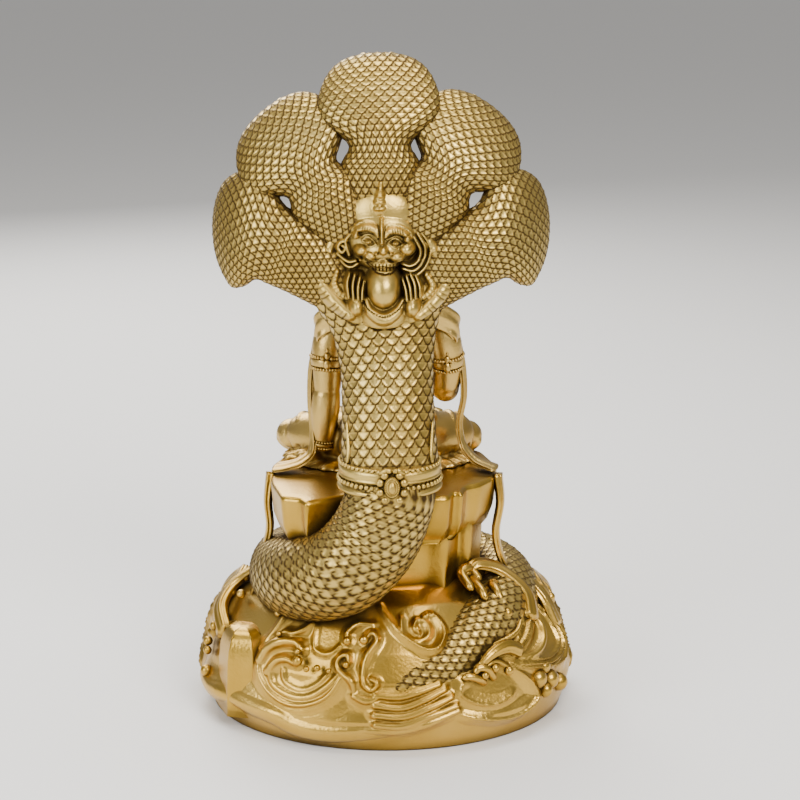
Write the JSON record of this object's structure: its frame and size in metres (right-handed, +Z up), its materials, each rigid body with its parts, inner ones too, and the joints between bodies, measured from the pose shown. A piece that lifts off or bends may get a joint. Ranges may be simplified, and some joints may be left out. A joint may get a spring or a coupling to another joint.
{
  "type": "nagarjuna figure",
  "caption": "Cast brass statuette of a seated bodhisattva on a rock in waves, sheltered by a naga whose scaled body coils up behind and spreads in a fan of hoods.",
  "frame": {"origin": "middle of the plinth's flat underside", "axes": "+Z up; the seated figure faces -Y, so the naga's back with its belt and mask is on the +Y side; +X is the figure's left"},
  "size_m": [0.1512, 0.1239, 0.2497],
  "materials": {
    "wave_plinth": "cast, rubbed satin, brown patina in the recesses",
    "seated_figure": "cast, satin, brown patina in the folds",
    "naga_hood": "cast, satin, pale gold scales with brown patina between them"
  },
  "bodies": {
    "root": {"wave_plinth": "wave_plinth", "seated_figure": "seated_figure", "naga_hood": "naga_hood"}
  },
  "joints": []
}
